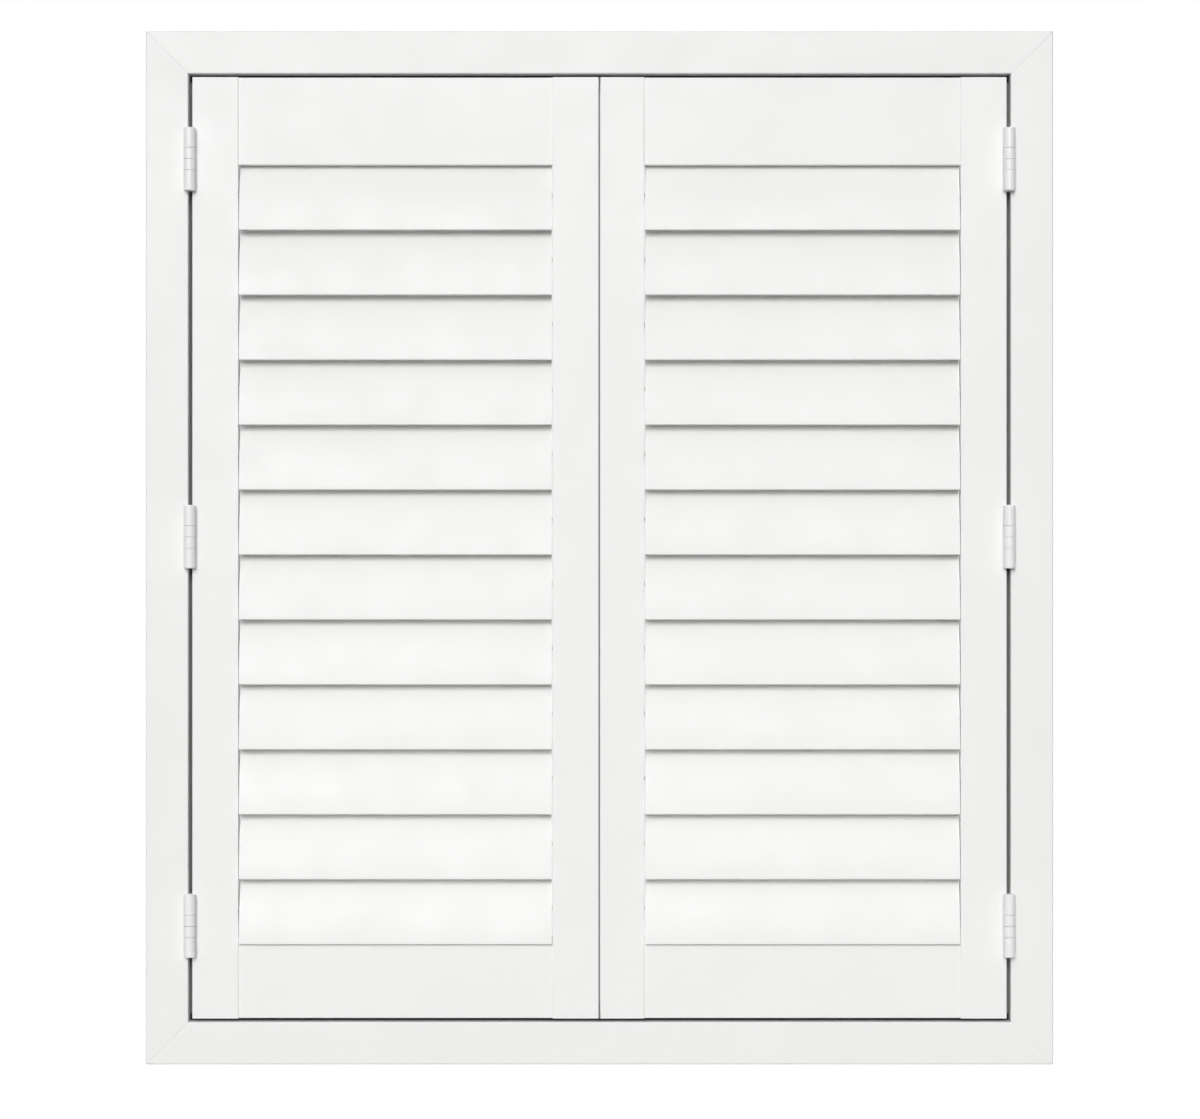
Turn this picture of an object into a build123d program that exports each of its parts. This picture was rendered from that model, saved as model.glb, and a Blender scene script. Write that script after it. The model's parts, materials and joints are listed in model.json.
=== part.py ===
from build123d import *
import os
from math import cos, radians, sin

# Louvred window shutters in their frame. Millimetres, +X right, +Y into the wall, +Z up.
# The origin is on the wall plane, at the middle of the reveal's sill, where the frame's leg stands.

# Louvres
louvre_count = 12
louvre_pitch = 77.25
louvre_chord = 89.0
louvre_thickness = 11.0
louvre_edge = 2.6
louvre_edge_bevel = 0.9
louvre_end_gap = 1.0
rest_tilt = 15.0

# Panels
panel_width = 484.0
panel_thickness = 22.0
pivot_depth = 7.5
hinge_stile_width = 55.0
meeting_stile_width = {"left": 55.0, "right": 52.6}
top_rail_height = 104.5
bottom_rail_height = 96.75
rail_to_pivot = 35.0
rail_recess = 1.5
rail_end_inset = 0.4
rail_lip_behind_pivot = 5.5
rail_rebate_height = 12.0
member_round = 1.2

# Frame, a Z-shaped section mitred at the corners
frame_face = 50.5
wall_overlap = 28.0
flange_thickness = 12.0
stop_projection = 18.0
stop_thickness = 12.0
frame_round = 1.6

# Gaps round and between the panels
side_gap = 4.6
end_gap = 4.0
meeting_gap = 1.8
stop_gap = 2.0

# Louvre pins, moulded with flats, pressed into the stiles and running in the louvres' core channel
pin_radius = 2.5
pin_flats = 8
running_clearance = 0.05
pin_in_stile = 12.0
pin_in_louvre = 12.0

# Tilt linkage behind the louvres
tilt_arm_reach = 62.0
tilt_arm_width = 6.0
tilt_arm_half_depth = 3.2
tilt_arm_end = 3.4
tilt_arm_end_chamfer = 1.4
tilt_arm_flare = 5.0
tilt_arm_inset = 5.0
tilt_rod_width = 10.0
tilt_rod_depth = 5.0
tilt_rod_beyond_pivot = 6.0
link_side_gap = 0.4
link_clearance = 3.0

# Butt hinges
hinge_height = 75.0
hinge_end_knuckle = 24.0
knuckle_radius = 7.1
knuckle_gap = 0.3
knuckle_to_face = 0.4
hinge_leaf_thickness = 1.8
hinge_leaf_depth = 18.0
hinge_pin_radius = 3.0
hinge_pin_head = 0.6
hinge_pin_floor = 3.0
low_hinge_from_foot = 111.0
high_hinge_from_head = 98.5
middle_hinge_rise = 6.75

# Catches, seals and fixings
magnet_width = 30.0
magnet_height = 8.0
magnet_depth = 5.0
strike_thickness = 1.2
stop_seal_width = 8.0
stop_seal_clearance = 0.4
meeting_seal_clearance = 0.3
meeting_seal_groove = 2.0
meeting_seal_depth = 3.0
meeting_seal_from_front = 5.0
fixing_hole_radius = 2.5
fixing_depth = 6.0
fixing_from_end = 200.0

# Places worked out from the sizes above
louvre_rise = (louvre_count - 1) * louvre_pitch
panel_height = bottom_rail_height + top_rail_height + louvre_rise + 2 * rail_to_pivot
opening_width = 2 * (panel_width + side_gap) + meeting_gap
opening_height = panel_height + 2 * end_gap
frame_leg = frame_face - wall_overlap
frame_width = opening_width + 2 * frame_face
opening_bottom = frame_leg
opening_top = opening_bottom + opening_height
opening_middle = opening_bottom + opening_height / 2
frame_bottom = opening_bottom - frame_face
frame_top = opening_top + frame_face

face_y = -flange_thickness
panel_back_y = face_y + panel_thickness
pivot_y = face_y + pivot_depth
stop_front_y = panel_back_y + stop_gap
frame_back_y = stop_front_y + stop_thickness

panel_foot = opening_bottom + end_gap
panel_head = panel_foot + panel_height
panel_outer_x = -opening_width / 2 + side_gap
panel_meeting_x = panel_outer_x + panel_width
lowest_pivot = panel_foot + bottom_rail_height + rail_to_pivot

hinge_axis_x = -opening_width / 2 + side_gap / 2
hinge_axis_y = face_y - knuckle_to_face - knuckle_radius
low_hinge = panel_foot + low_hinge_from_foot
high_hinge = panel_head - high_hinge_from_head
middle_hinge = (low_hinge + high_hinge) / 2 + middle_hinge_rise

arm_back = tilt_arm_reach * sin(radians(rest_tilt))
arm_up = tilt_arm_reach * cos(radians(rest_tilt))


def block(x, y, z):
    """A box between two values on each axis."""
    size = [span[1] - span[0] for span in (x, y, z)]
    middle = [(span[0] + span[1]) / 2 for span in (x, y, z)]
    return Pos(*middle) * Box(*size)


def on_side(shape, side):
    """Pieces are drawn for the left-hand panel, and mirrored for the right-hand one."""
    return mirror(shape, about=Plane.YZ) if side == "right" else shape


def pivot_level(number):
    """Height of a louvre's pivot; louvre 1 is the top one."""
    return lowest_pivot + (louvre_count - number) * louvre_pitch


def louvre_span(side):
    """Clear width between a panel's stiles, in X."""
    start = panel_outer_x + hinge_stile_width
    return start, panel_meeting_x - meeting_stile_width[side]


# Frame


def frame_section():
    """Z section across the sill: flange on the wall, leg in the reveal, light stop behind the panels."""
    reach = frame_face + stop_projection
    points = [
        (face_y, 0),
        (face_y, frame_face),
        (stop_front_y, frame_face),
        (stop_front_y, reach),
        (frame_back_y, reach),
        (frame_back_y, wall_overlap),
        (0, wall_overlap),
        (0, 0),
    ]
    section = make_face(Polyline(*points, close=True))
    front_corners = section.vertices().group_by(Axis.X)[0]
    section = fillet(front_corners, frame_round)
    return Plane.YZ * section


def frame_member(length):
    """One mitred length of the frame, lying along X with its outer edge on Z = 0."""
    bar = extrude(frame_section(), amount=length / 2, both=True)
    reach = frame_face + stop_projection
    half = length / 2
    corners = [(-half, 0), (half, 0), (half - reach, reach), (reach - half, reach)]
    mitre = make_face(Polyline(*corners, close=True))
    depth = frame_back_y - face_y
    return bar & extrude(Plane.XZ * mitre, amount=depth, both=True)


def catch_places():
    """X and Z of each magnet: behind the meeting stiles, on the stops of the head and the sill."""
    offset = meeting_gap / 2 + meeting_stile_width["left"] / 2
    rise = stop_projection - magnet_height / 2 - (stop_projection - stop_seal_width - magnet_height) / 2
    return [(x, z) for z in (opening_bottom + rise, opening_top - rise) for x in (-offset, offset)]


def catch_block(place, y):
    """A magnet or a strike plate at one of the catches; both have the same outline."""
    x, z = place
    half_width = magnet_width / 2
    half_height = magnet_height / 2
    return block((x - half_width, x + half_width), y, (z - half_height, z + half_height))


def magnet(place):
    return catch_block(place, (stop_front_y, stop_front_y + magnet_depth))


def cut_magnet_pockets(member):
    for place in catch_places():
        member -= magnet(place)
    return member


def sill():
    return cut_magnet_pockets(Pos(0, 0, frame_bottom) * frame_member(frame_width))


def head():
    return cut_magnet_pockets(Pos(0, 0, frame_top) * Rot(0, 180, 0) * frame_member(frame_width))


def jamb(side):
    """Upright frame member, drilled sideways into the reveal where the panel hides the screws."""
    height = frame_top - frame_bottom
    member = Pos(-frame_width / 2, 0, opening_middle) * Rot(0, 90, 0) * frame_member(height)
    hole_x = -opening_width / 2 - frame_leg / 2
    hole = Rot(0, 90, 0) * Cylinder(fixing_hole_radius, 2 * frame_leg)
    for z in (opening_bottom + fixing_from_end, opening_top - fixing_from_end):
        member -= Pos(hole_x, fixing_depth, z) * hole
    return on_side(member, side)


def stop_seals():
    """Flat seals on the light stop, which close the gap round the panels."""
    half = opening_width / 2
    y = (panel_back_y + stop_seal_clearance, stop_front_y)
    w = stop_seal_width
    uprights = [
        block((-half, -half + w), y, (opening_bottom, opening_top)),
        block((half - w, half), y, (opening_bottom, opening_top)),
    ]
    levels = [
        block((-half + w, half - w), y, (opening_bottom, opening_bottom + w)),
        block((-half + w, half - w), y, (opening_top - w, opening_top)),
    ]
    return uprights + levels


# Panels


def stile(x0, x1):
    """Upright of a panel, with its two front edges rounded over."""
    body = block((x0, x1), (face_y, panel_back_y), (panel_foot, panel_head))
    front_edges = body.edges().filter_by(Axis.Z).group_by(Axis.Y)[0]
    return fillet(front_edges, member_round)


def hinge_stile(side):
    return on_side(stile(panel_outer_x, panel_outer_x + hinge_stile_width), side)


def meeting_seal():
    """Fin in the left meeting stile's edge that closes the gap between the panels."""
    x = (panel_meeting_x - meeting_seal_groove, panel_meeting_x + meeting_gap - meeting_seal_clearance)
    start = face_y + meeting_seal_from_front
    return block(x, (start, start + meeting_seal_depth), (panel_foot, panel_head))


def meeting_stile(side):
    body = stile(panel_meeting_x - meeting_stile_width[side], panel_meeting_x)
    if side == "left":
        body -= meeting_seal()
    return on_side(body, side)


def link_span():
    """X from the near side of the tilt arms to the far side of the tilt rod."""
    start = panel_outer_x + hinge_stile_width + louvre_end_gap + tilt_arm_inset
    return start, start + tilt_arm_width + link_side_gap + tilt_rod_width


def rail(side, z0, z1, louvre_edge_z, inward):
    """Rail with a rebate along its louvre edge, and a notch there that the tilt arm and rod swing into."""
    x0, x1 = louvre_span(side)
    front = face_y + rail_recess
    back = panel_back_y - rail_recess
    body = block((x0, x1), (front, back), (z0, z1))
    long_edges = body.edges().filter_by(Axis.X)
    body = fillet(long_edges.group_by(Axis.Y)[0], member_round)
    lip_back = pivot_y + rail_lip_behind_pivot
    rebate_z = sorted((louvre_edge_z, louvre_edge_z + inward * rail_rebate_height))
    body -= block((x0, x1), (lip_back, back), rebate_z)
    notch_start, notch_end = link_span()
    notch_reach = arm_up + tilt_rod_beyond_pivot + link_clearance - rail_to_pivot
    notch_x = (notch_start - link_clearance, notch_end + link_clearance)
    notch_z = sorted((louvre_edge_z, louvre_edge_z + inward * notch_reach))
    return on_side(body - block(notch_x, (lip_back, back), notch_z), side)


def top_rail(side):
    louvre_edge_z = panel_head - top_rail_height
    return rail(side, louvre_edge_z, panel_head - rail_end_inset, louvre_edge_z, 1)


def bottom_rail(side):
    louvre_edge_z = panel_foot + bottom_rail_height
    return rail(side, panel_foot + rail_end_inset, louvre_edge_z, louvre_edge_z, -1)


def strike_plates(side):
    """Steel plates on the panel's back that meet the magnets."""
    y = (panel_back_y, panel_back_y + strike_thickness)
    left_places = [place for place in catch_places() if place[0] < 0]
    return [on_side(catch_block(place, y), side) for place in left_places]


# Louvres and their linkage


def louvre_section():
    """Two shallow arcs, with a bevelled front edge and a flat rear edge for the tilt arm."""
    c = louvre_chord / 2
    e = louvre_edge / 2
    t = louvre_thickness / 2
    front = ThreePointArc((-c, -e), (0, -t), (c, -e))
    back = ThreePointArc((c, e), (0, t), (-c, e))
    edges = [front, Line((c, -e), (c, e)), back, Line((-c, e), (-c, -e))]
    section = make_face(edges)
    return chamfer(section.vertices().group_by(Axis.X)[0], louvre_edge_bevel)


def tilt_arm_outline():
    """From the louvre's rear edge to its eye beside the tilt rod."""
    root = louvre_chord / 2
    e = louvre_edge / 2
    w = tilt_arm_half_depth
    tip = tilt_arm_reach + tilt_arm_end
    shoulder = tip - tilt_arm_end_chamfer
    nose = w - tilt_arm_end_chamfer
    upper = [(root, e), (root + tilt_arm_flare, w), (shoulder, w), (tip, nose)]
    lower = [(u, -v) for u, v in reversed(upper)]
    return make_face(Polyline(*upper, *lower, close=True))


def along_x(section, x0, x1, level):
    """Stand a chord-wise section at a pivot, tilted to rest, and draw it out along X."""
    upright = Plane(origin=(0, 0, 0), x_dir=(0, 0, 1), z_dir=(-1, 0, 0))
    bar = extrude(upright * section, amount=x1 - x0)
    return Pos(x1, pivot_y, level) * Rot(-rest_tilt, 0, 0) * bar


def louvre(side, number):
    """The blade, with a channel along its core for the pins, and the tilt arm on its rear edge."""
    x0, x1 = louvre_span(side)
    x0 += louvre_end_gap
    x1 -= louvre_end_gap
    level = pivot_level(number)
    channel = RegularPolygon(pin_radius + running_clearance, pin_flats, major_radius=False)
    blade = along_x(louvre_section() - channel, x0, x1, level)
    arm_start = x0 + tilt_arm_inset
    arm = along_x(tilt_arm_outline(), arm_start, arm_start + tilt_arm_width, level)
    return [on_side(blade, side), on_side(arm, side)]


def louvre_pins(side):
    """Short pins at both ends of every louvre."""
    x0, x1 = louvre_span(side)
    reach = louvre_end_gap + pin_in_louvre
    length = pin_in_stile + reach
    section = RegularPolygon(pin_radius, pin_flats)
    pins = []
    for number in range(1, louvre_count + 1):
        for start in (x0 - pin_in_stile, x1 - reach):
            pin = along_x(section, start, start + length, pivot_level(number))
            pins.append(on_side(pin, side))
    return pins


def tilt_rod(side):
    """Flat rod behind the louvres that joins all their arms."""
    x1 = link_span()[1]
    y = pivot_y + arm_back
    low = pivot_level(louvre_count) + arm_up - tilt_rod_beyond_pivot
    high = pivot_level(1) + arm_up + tilt_rod_beyond_pivot
    half = tilt_rod_depth / 2
    return on_side(block((x1 - tilt_rod_width, x1), (y - half, y + half), (low, high)), side)


# Hinges


def knuckle_spans():
    """Z of the four knuckles above the hinge's middle, from the top one down."""
    inner = (hinge_height - 2 * hinge_end_knuckle - 3 * knuckle_gap) / 2
    spans = []
    top = hinge_height / 2
    for length in (hinge_end_knuckle, inner, inner, hinge_end_knuckle):
        spans.append((top - length, top))
        top -= length + knuckle_gap
    return spans


def knuckle(span):
    barrel = Cylinder(knuckle_radius, span[1] - span[0])
    return Pos(hinge_axis_x, hinge_axis_y, (span[0] + span[1]) / 2) * barrel


def hinge_leaf(plate_x, spans):
    """A leaf plate in the gap, with a tongue and a knuckle at each of its own spans."""
    half = hinge_height / 2
    leaf = block(plate_x, (face_y, face_y + hinge_leaf_depth), (-half, half))
    for span in spans:
        leaf += block(plate_x, (hinge_axis_y, face_y), span)
        leaf += knuckle(span)
    return leaf


def frame_leaf():
    """Its knuckles, the first and third from the top, are tight on the pin."""
    spans = knuckle_spans()
    edge = -opening_width / 2
    return hinge_leaf((edge, edge + hinge_leaf_thickness), (spans[0], spans[2]))


def panel_leaf():
    """Its knuckles, the second and fourth from the top, turn on the pin. The last is closed below."""
    spans = knuckle_spans()
    edge = panel_outer_x
    leaf = hinge_leaf((edge - hinge_leaf_thickness, edge), (spans[1], spans[3]))
    return leaf - hinge_pin(running_clearance)


def hinge_pin(clearance=0.0):
    low = -hinge_height / 2 + hinge_pin_floor - clearance
    high = hinge_height / 2 + hinge_pin_head
    pin = Cylinder(hinge_pin_radius + clearance, high - low)
    return Pos(hinge_axis_x, hinge_axis_y, (low + high) / 2) * pin


def at_hinges(piece, side):
    """The piece at each of a panel's three hinges."""
    return [on_side(Pos(0, 0, z) * piece, side) for z in (low_hinge, middle_hinge, high_hinge)]


# Files


def write(name, shape):
    """One file for a node; a list of solids is one node of separate pieces."""
    if isinstance(shape, list):
        shape = Compound(children=shape)
    export_step(shape, f"parts/{name}.step")


def main():
    os.makedirs("parts", exist_ok=True)
    write("frame_sill", sill())
    write("frame_head", head())
    write("stop_seals", stop_seals())
    write("catch_magnets", [magnet(place) for place in catch_places()])
    write("meeting_seal", meeting_seal())
    for side in ("left", "right"):
        write(f"frame_{side}_jamb", jamb(side))
        write(f"{side}_hinge_stile", hinge_stile(side))
        write(f"{side}_meeting_stile", meeting_stile(side))
        write(f"{side}_top_rail", top_rail(side))
        write(f"{side}_bottom_rail", bottom_rail(side))
        write(f"{side}_strike_plates", strike_plates(side))
        write(f"{side}_louvre_pins", louvre_pins(side))
        write(f"{side}_tilt_rod", tilt_rod(side))
        write(f"{side}_hinge_pins", at_hinges(hinge_pin(), side))
        write(f"{side}_hinge_frame_leaves", at_hinges(frame_leaf(), side))
        write(f"{side}_hinge_panel_leaves", at_hinges(panel_leaf(), side))
        for number in range(1, louvre_count + 1):
            write(f"{side}_louvre_{number:02d}", louvre(side, number))


main()
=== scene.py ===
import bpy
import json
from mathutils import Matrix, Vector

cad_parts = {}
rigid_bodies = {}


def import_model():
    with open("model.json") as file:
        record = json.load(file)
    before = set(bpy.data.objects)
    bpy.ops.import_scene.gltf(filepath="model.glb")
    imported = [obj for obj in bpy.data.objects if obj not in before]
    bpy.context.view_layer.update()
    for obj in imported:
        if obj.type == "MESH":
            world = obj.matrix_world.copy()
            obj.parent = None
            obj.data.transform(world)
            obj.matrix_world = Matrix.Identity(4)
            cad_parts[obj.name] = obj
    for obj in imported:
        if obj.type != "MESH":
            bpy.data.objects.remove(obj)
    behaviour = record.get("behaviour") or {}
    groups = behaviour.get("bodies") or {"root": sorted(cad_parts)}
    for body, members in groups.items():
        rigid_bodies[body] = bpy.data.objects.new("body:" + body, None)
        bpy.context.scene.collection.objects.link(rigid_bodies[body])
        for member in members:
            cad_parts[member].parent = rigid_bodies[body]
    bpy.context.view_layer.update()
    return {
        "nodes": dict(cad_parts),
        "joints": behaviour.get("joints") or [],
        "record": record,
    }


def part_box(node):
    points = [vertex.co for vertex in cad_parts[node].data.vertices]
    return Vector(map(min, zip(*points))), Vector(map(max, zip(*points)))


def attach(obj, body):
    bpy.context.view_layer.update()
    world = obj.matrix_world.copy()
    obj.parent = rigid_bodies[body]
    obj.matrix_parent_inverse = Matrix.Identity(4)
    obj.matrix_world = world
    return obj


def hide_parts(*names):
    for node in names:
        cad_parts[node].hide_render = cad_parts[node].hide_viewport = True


bl_info = {
    "name": "Louvred Shutters",
    "version": (1, 0, 0),
    "blender": (4, 5, 0),
    "location": "View3D > Sidebar > Shutters",
    "description": "Finishes a pair of louvred window shutters hinged in a mitred frame",
    "category": "Object",
}

import json
from math import asin, atan2, cos, hypot, pi, radians, sin

import bmesh
import bpy
from bpy.props import FloatProperty, FloatVectorProperty, IntProperty, PointerProperty
from mathutils import Matrix, Vector

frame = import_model()

# Everything is in metres, in the frame's own axes: +X right, +Y into the wall, +Z up.
MM = 0.001
SIDES = ("left", "right")
LOUVRE_COUNT = sum(node.startswith("left_louvre_") and node[-2:].isdigit() for node in frame["nodes"])
JOINTS = {joint["name"]: joint for joint in frame["joints"]}

# A point this near a plane lies in it.
NEAR = 0.01 * MM
# Points this near each other become one.
MERGE = 0.001 * MM
# An edge with more than this share of its length along an axis runs along it.
ALONG = 0.999
# Edges sharper than this stay crisp.
SHARP_ANGLE = radians(35)

# Sizes of the pieces that don't show in a node's box
ARM_WIDTH = 6 * MM
ARM_HALF_DEPTH = 3.2 * MM
ARM_FLARE = 5 * MM
ARM_ROOT_IN_BLADE = 1.5 * MM
LINK_SIDE_GAP = 0.4 * MM
RIVET_PLAY = 0.05 * MM
BLADE_CHORD = 89 * MM
BLADE_THICKNESS = 11 * MM
BLADE_EDGE = 2.6 * MM
CHANNEL_RADIUS = 2.6 * MM
RAIL_LIP_BEHIND_PIVOT = 5.5 * MM
RAIL_REBATE = 12 * MM
NOTCH_CLEARANCE = 3 * MM
NOTCH_DRAFT = 0.3 * MM
FIXING_RADIUS = 2.5 * MM
LEAF_THICKNESS = 1.8 * MM
LEAF_DEPTH = 18 * MM
HINGE_HEIGHT = 75 * MM
KNUCKLE_RADIUS = 7.1 * MM
END_KNUCKLE = 24 * MM
KNUCKLE_GAP = 0.3 * MM
HINGE_PIN_RADIUS = 3 * MM
HINGE_PIN_FOOT_EASE = 0.3 * MM
TONGUE_INSET = 0.05 * MM
SEAL_WIDTH = 8 * MM
CATCH_HEIGHT = 8 * MM
MAGNET_PROUD = 0.15 * MM
# Rounded shares of the heads' heights
RIVET_DOME = 0.8
HINGE_PIN_DOME = 0.9
# How far back the screws are, as a share of a leaf's depth
SCREW_IN_LEAF = 0.55
# Half width, length and depth of a screw's cross, as shares of its head's radius
RECESS_SHARES = (0.16, 0.62, 0.35)


# Reading the frame


def span(node, axis):
    """Lowest and highest value of a node along X (0), Y (1) or Z (2)."""
    low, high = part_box(node)
    return low[axis], high[axis]


def joint_place(name):
    return Vector(JOINTS[name]["pos_m"])


def side_sign(side):
    """-1 where a panel's hinges are at low X, and 1 where they are at high X."""
    return -1 if side == "left" else 1


OPENING_X = span("stop_seals", 0)
OPENING_Z = span("stop_seals", 2)
STOP_FRONT_Y = span("stop_seals", 1)[1]
FACE_Y, FRAME_BACK_Y = span("frame_head", 1)
FRAME_X = span("frame_head", 0)
FRAME_Z = (span("frame_sill", 2)[0], span("frame_head", 2)[1])
FRAME_FACE = OPENING_Z[0] - FRAME_Z[0]
STOP_REACH = span("frame_sill", 2)[1] - FRAME_Z[0]
FRAME_MIDDLE_Z = (FRAME_Z[0] + FRAME_Z[1]) / 2
PIVOT_Y = joint_place("left_louvre_01_tilt").y


# Meshes


def box_mesh(bm, low, high):
    """A closed box between two corners."""
    low, high = Vector(low), Vector(high)
    verts = bmesh.ops.create_cube(bm, size=1.0)["verts"]
    bmesh.ops.scale(bm, vec=high - low, verts=verts)
    bmesh.ops.translate(bm, vec=(low + high) / 2, verts=verts)
    return verts


def edges_along(edges, axis):
    """Those of the edges that run along X (0), Y (1) or Z (2)."""
    found = []
    for edge in edges:
        run = edge.verts[0].co - edge.verts[1].co
        if abs(run[axis]) > ALONG * run.length:
            found.append(edge)
    return found


def edges_of(verts):
    return list({edge for vert in verts for edge in vert.link_edges})


def edges_at(edges, axis, value):
    """Those of the edges that lie in the plane at this value."""
    return [e for e in edges if all(abs(v.co[axis] - value) < NEAR for v in e.verts)]


def round_edges(bm, edges, radius, segments=3):
    bmesh.ops.bevel(
        bm, geom=edges, offset=radius, affect="EDGES", segments=segments, profile=0.5, material=-1
    )


def draw_out(bm, faces, vector):
    """Extrude flat faces into a closed bar."""
    moved = bmesh.ops.extrude_face_region(bm, geom=faces)["geom"]
    verts = [v for v in moved if isinstance(v, bmesh.types.BMVert)]
    bmesh.ops.translate(bm, vec=vector, verts=verts)
    return verts


def outline_face(bm, points):
    return bm.faces.new([bm.verts.new(point) for point in points])


def turned(bm, radius, length, matrix, low_round=0.0, high_round=0.0, segments=40):
    """A round pin along its own Z, with rounded ends, put in place by a matrix."""
    made = bmesh.ops.create_cone(
        bm, cap_ends=True, segments=segments, radius1=radius, radius2=radius, depth=length
    )["verts"]
    edges = edges_of(made)
    verts = set(made)
    for level, size in ((-length / 2, low_round), (length / 2, high_round)):
        if size:
            rim = edges_at([e for e in edges if e.is_valid], 2, level)
            bevelled = bmesh.ops.bevel(
                bm, geom=rim, offset=size, affect="EDGES", segments=4, profile=0.5, material=-1
            )
            verts = {v for v in verts if v.is_valid} | set(bevelled["verts"])
    bmesh.ops.transform(bm, matrix=matrix, verts=list(verts))


def finish_piece(bm, name, material, body, nodes=()):
    """Make the bmesh an object that rides on a body and stands for CAD nodes."""
    bmesh.ops.remove_doubles(bm, verts=bm.verts, dist=MERGE)
    bmesh.ops.dissolve_degenerate(bm, dist=MERGE, edges=bm.edges)
    bmesh.ops.recalc_face_normals(bm, faces=bm.faces)
    mesh = bpy.data.meshes.new(name)
    bm.to_mesh(mesh)
    bm.free()
    mesh.shade_smooth()
    mesh.set_sharp_from_angle(angle=SHARP_ANGLE)
    mesh.materials.append(material)
    piece = bpy.data.objects.new(name, mesh)
    bpy.context.scene.collection.objects.link(piece)
    weighted = piece.modifiers.new("Flat faces stay flat", "WEIGHTED_NORMAL")
    weighted.keep_sharp = True
    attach(piece, body)
    if nodes:
        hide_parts(*nodes)


def paint_node(node, material):
    """Give a CAD node its material."""
    mesh = frame["nodes"][node].data
    mesh.materials.clear()
    mesh.materials.append(material)


# Materials


def hex_to_linear(value):
    """Linear red, green, blue of an sRGB hex colour."""
    channels = [int(value[i:i + 2], 16) / 255 for i in (1, 3, 5)]
    return tuple(c / 12.92 if c <= 0.04045 else ((c + 0.055) / 1.055) ** 2.4 for c in channels)


def add_node(tree, kind, values=None, links=None, **settings):
    """Add a node, set its inputs' values and its settings, and link its inputs."""
    node = tree.nodes.new(kind)
    for key, value in settings.items():
        setattr(node, key, value)
    for key, value in (values or {}).items():
        node.inputs[key].default_value = value
    for key, socket in (links or {}).items():
        tree.links.new(socket, node.inputs[key])
    return node


def new_material(name):
    """An empty node material; returns it, its tree and the object coordinates in metres."""
    material = bpy.data.materials.new(name)
    material.use_nodes = True
    tree = material.node_tree
    tree.nodes.clear()
    place = add_node(tree, "ShaderNodeTexCoord").outputs["Object"]
    return material, tree, place


def noise(tree, place, grain, detail=2.0):
    """Cloudy noise whose blots are about one grain across, in metres."""
    values = {"Scale": 1 / grain, "Detail": detail, "Roughness": 0.5}
    return add_node(tree, "ShaderNodeTexNoise", values, {"Vector": place}).outputs["Fac"]


def ranged(tree, value, low, high):
    """The noise's middle range, spread between two values."""
    values = {"From Min": 0.3, "From Max": 0.7, "To Min": low, "To Max": high}
    return add_node(tree, "ShaderNodeMapRange", values, {"Value": value}).outputs["Result"]


def tinted(tree, colour, factor):
    """The colour, darkened by the factor."""
    mixed = add_node(
        tree, "ShaderNodeMix", {"A": (*colour, 1), "Factor": 1.0}, {"B": factor},
        data_type="RGBA", blend_type="MULTIPLY",
    )
    # The third of a Mix node's results is its colour.
    return mixed.outputs[2]


def surface(tree, values, links):
    """The Principled shader at the end of a material."""
    shader = add_node(tree, "ShaderNodeBsdfPrincipled", values, links)
    add_node(tree, "ShaderNodeOutputMaterial", links={"Surface": shader.outputs["BSDF"]})


def satin_paint(name, colour, roughness=0.42):
    """Sprayed satin paint on a smooth moulded core.

    It gives an even white with a slight sheen, faint blots and the spray's orange peel.
    """
    material, tree, place = new_material(name)
    blots = ranged(tree, noise(tree, place, 120 * MM), 0.985, 1.0)
    peel = noise(tree, place, 2.2 * MM, 3.0)
    gloss = ranged(tree, noise(tree, place, 35 * MM), roughness - 0.04, roughness + 0.04)
    bump = add_node(tree, "ShaderNodeBump", {"Strength": 0.35, "Distance": 0.03 * MM}, {"Height": peel})
    links = {"Base Color": tinted(tree, colour, blots), "Roughness": gloss}
    links["Normal"] = bump.outputs["Normal"]
    surface(tree, {"IOR": 1.47}, links)
    return material


def powder_coat(name, colour):
    """Powder-coated steel. It gives a harder white, with a fine dimple from the baked powder."""
    material, tree, place = new_material(name)
    dimples = noise(tree, place, 0.8 * MM, 1.0)
    shade = ranged(tree, noise(tree, place, 9 * MM), 0.98, 1.0)
    bump = add_node(tree, "ShaderNodeBump", {"Strength": 0.5, "Distance": 0.03 * MM}, {"Height": dimples})
    links = {"Base Color": tinted(tree, colour, shade), "Normal": bump.outputs["Normal"]}
    surface(tree, {"IOR": 1.5, "Roughness": 0.32}, links)
    return material


def moulded_nylon(name, colour):
    """Injection-moulded nylon. It gives a milky, slightly waxy white."""
    material, tree, place = new_material(name)
    flow = ranged(tree, noise(tree, place, 6 * MM), 0.96, 1.0)
    gloss = ranged(tree, noise(tree, place, 1.5 * MM), 0.38, 0.5)
    links = {"Base Color": tinted(tree, colour, flow), "Roughness": gloss}
    surface(tree, {"IOR": 1.53, "Subsurface Weight": 0.08, "Subsurface Scale": 0.6 * MM}, links)
    return material


def nickel_plate(name, colour):
    """Nickel-plated steel. It gives a warm grey metal with fine rolling marks along the plate."""
    material, tree, place = new_material(name)
    # Marks in a metre, along the plate and across it
    along, across = 40, 2200
    mapping = add_node(tree, "ShaderNodeMapping", {"Scale": (along, across, across)}, {"Vector": place})
    marks = add_node(
        tree, "ShaderNodeTexNoise", {"Scale": 1.0, "Detail": 2.0}, {"Vector": mapping.outputs["Vector"]}
    ).outputs["Fac"]
    gloss = ranged(tree, marks, 0.22, 0.38)
    shade = ranged(tree, marks, 0.9, 1.0)
    links = {"Base Color": tinted(tree, colour, shade), "Roughness": gloss}
    surface(tree, {"Metallic": 1.0}, links)
    return material


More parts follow.
